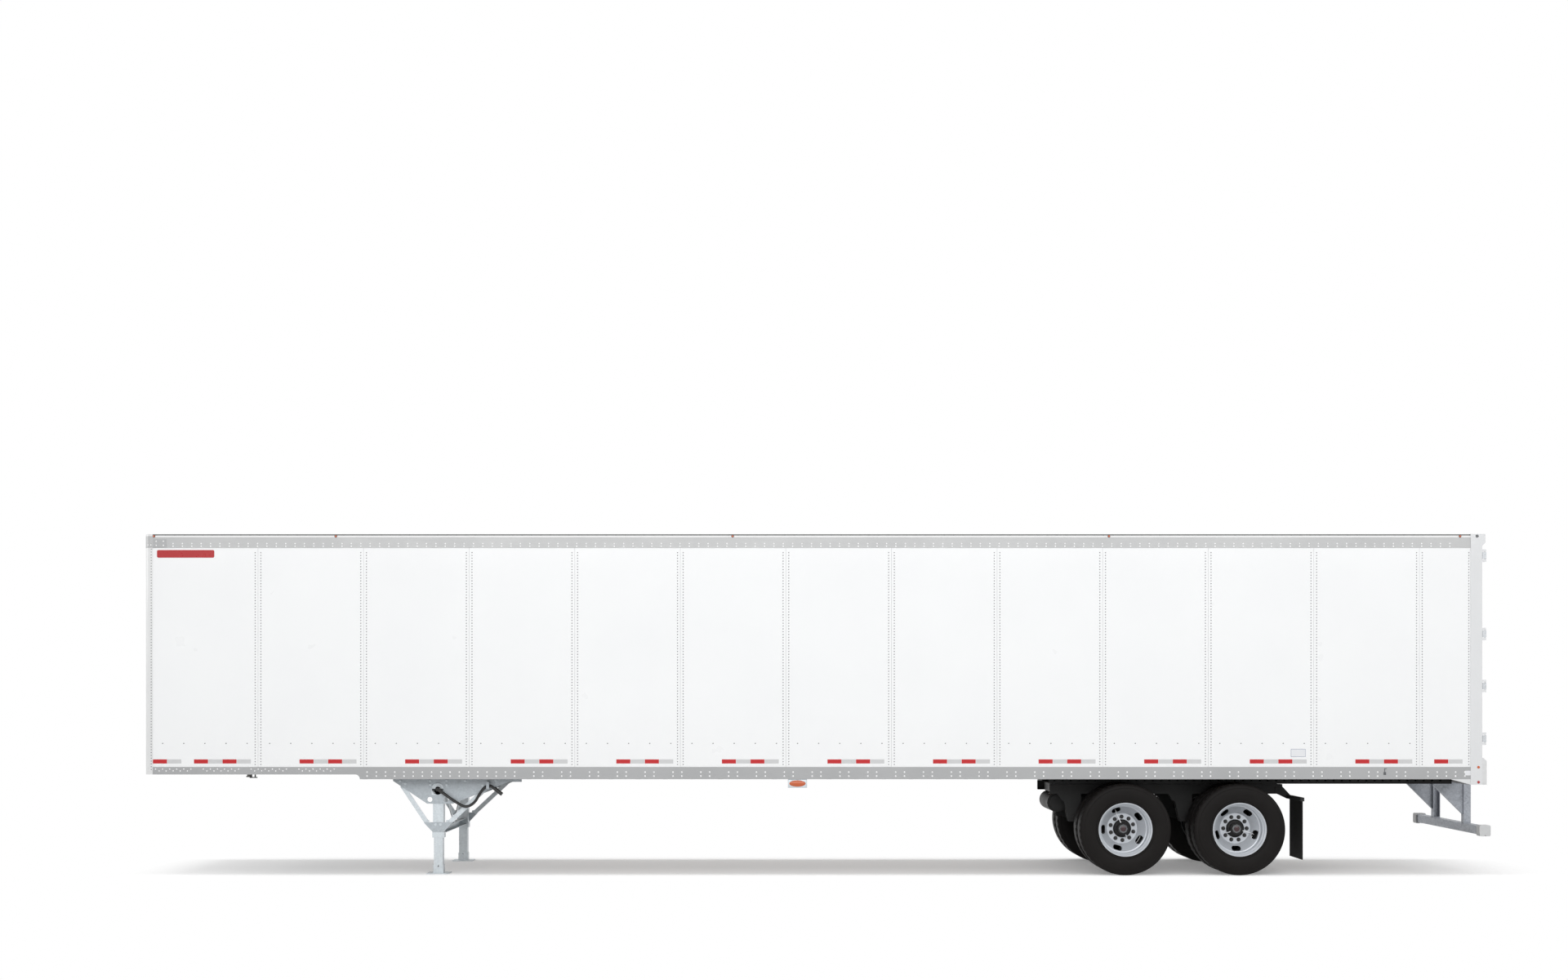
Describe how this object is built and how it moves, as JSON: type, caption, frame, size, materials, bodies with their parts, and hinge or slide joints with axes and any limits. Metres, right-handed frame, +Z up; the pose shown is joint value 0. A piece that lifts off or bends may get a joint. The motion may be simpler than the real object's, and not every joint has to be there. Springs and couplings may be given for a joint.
{
  "type": "dry van semi trailer",
  "caption": "Enclosed box semi trailer with smooth panelled sides, hinged rear doors, landing legs and a sliding air-sprung tandem on twin wheels.",
  "frame": {"origin": "middle of the whole trailer's box, on the ground between landing legs and wheels", "axes": "+X from the nose towards the rear doors, +Y towards the kerb side (the trailer's right), +Z up"},
  "size_m": [16.209, 2.591, 4.115],
  "materials": {
    "white_panel": "smooth white coated composite panel",
    "rail_aluminium": "satin extruded aluminium",
    "roof_skin": "plain mill sheet",
    "floor_wood": "laminated hardwood boards",
    "underframe_paint": "dull black undercoat",
    "bright_steel": "zinc-coated sheet",
    "kingpin_steel": "greased forged steel",
    "rear_paint": "white paint on steel",
    "bumper_paint": "pale grey painted block",
    "red_lens": "ribbed red lens",
    "amber_lens": "ribbed amber lens",
    "galvanised": "hot-dip galvanised, faint spangle",
    "end_cap": "pale moulded cap",
    "black_paint": "semi-gloss black",
    "rubber": "moulded black rubber",
    "tyre": "black, ribbed tread",
    "rim_silver": "silver-white powder coat",
    "hub_iron": "cast, partly painted",
    "door_steel": "zinc-plated hardware"
  },
  "bodies": {
    "van": {"floor": "floor_wood", "crossmembers": "underframe_paint", "left_wall": "white_panel", "right_wall": "white_panel", "wall_posts": "bright_steel", "bottom_rails": "rail_aluminium", "top_rails": "rail_aluminium", "front_wall": "white_panel", "front_frame": "rail_aluminium", "roof": "roof_skin", "roof_bows": "bright_steel", "coupler_plate": "underframe_paint", "kingpin": "kingpin_steel", "rear_frame": "rear_paint", "bumper_blocks": "bumper_paint", "rear_lamps": "red_lens", "side_lamps": "amber_lens", "underride_guard": "galvanised", "guard_end_caps": "end_cap", "slider_rails": "underframe_paint", "landing_legs": "galvanised", "landing_gear_plates": "galvanised", "landing_gear_braces": "galvanised", "landing_gear_crank": "black_paint", "nose_box": "black_paint"},
    "bogie": {"slider_frame": "underframe_paint", "suspension_hangers": "underframe_paint", "trailing_arms": "underframe_paint", "air_springs": "rubber", "shock_absorbers": "black_paint", "axles": "underframe_paint", "brake_chambers": "black_paint", "air_tanks": "black_paint", "mud_flap_hangers": "underframe_paint", "mud_flaps": "rubber"},
    "front_left_wheels": {"tyres_front_left": "tyre", "rims_front_left": "rim_silver", "hub_front_left": "hub_iron"},
    "front_right_wheels": {"tyres_front_right": "tyre", "rims_front_right": "rim_silver", "hub_front_right": "hub_iron"},
    "rear_left_wheels": {"tyres_rear_left": "tyre", "rims_rear_left": "rim_silver", "hub_rear_left": "hub_iron"},
    "rear_right_wheels": {"tyres_rear_right": "tyre", "rims_rear_right": "rim_silver", "hub_rear_right": "hub_iron"},
    "left_door": {"left_door": "white_panel", "left_door_hardware": "door_steel"},
    "right_door": {"right_door": "white_panel", "right_door_hardware": "door_steel"}
  },
  "joints": [
    {"name": "bogie_slide", "type": "slide", "parent": "van", "child": "bogie", "axis": [1, 0, 0], "range_m": [0, 1.829]},
    {"name": "front_left_spin", "type": "hinge", "parent": "bogie", "child": "front_left_wheels", "pos_m": [3.7105, -0.984, 0.552], "axis": [0, 1, 0], "continuous": true},
    {"name": "front_right_spin", "type": "hinge", "parent": "bogie", "child": "front_right_wheels", "pos_m": [3.7105, 0.984, 0.552], "axis": [0, 1, 0], "continuous": true},
    {"name": "rear_left_spin", "type": "hinge", "parent": "bogie", "child": "rear_left_wheels", "pos_m": [5.0865, -0.984, 0.552], "axis": [0, 1, 0], "continuous": true},
    {"name": "rear_right_spin", "type": "hinge", "parent": "bogie", "child": "rear_right_wheels", "pos_m": [5.0865, 0.984, 0.552], "axis": [0, 1, 0], "continuous": true},
    {"name": "left_door_swing", "type": "hinge", "parent": "van", "child": "left_door", "pos_m": [8.0355, -1.276, 2.6], "axis": [0, 0, -1], "range_deg": [0, 270]},
    {"name": "right_door_swing", "type": "hinge", "parent": "van", "child": "right_door", "pos_m": [8.0355, 1.276, 2.6], "axis": [0, 0, 1], "range_deg": [0, 270]}
  ]
}
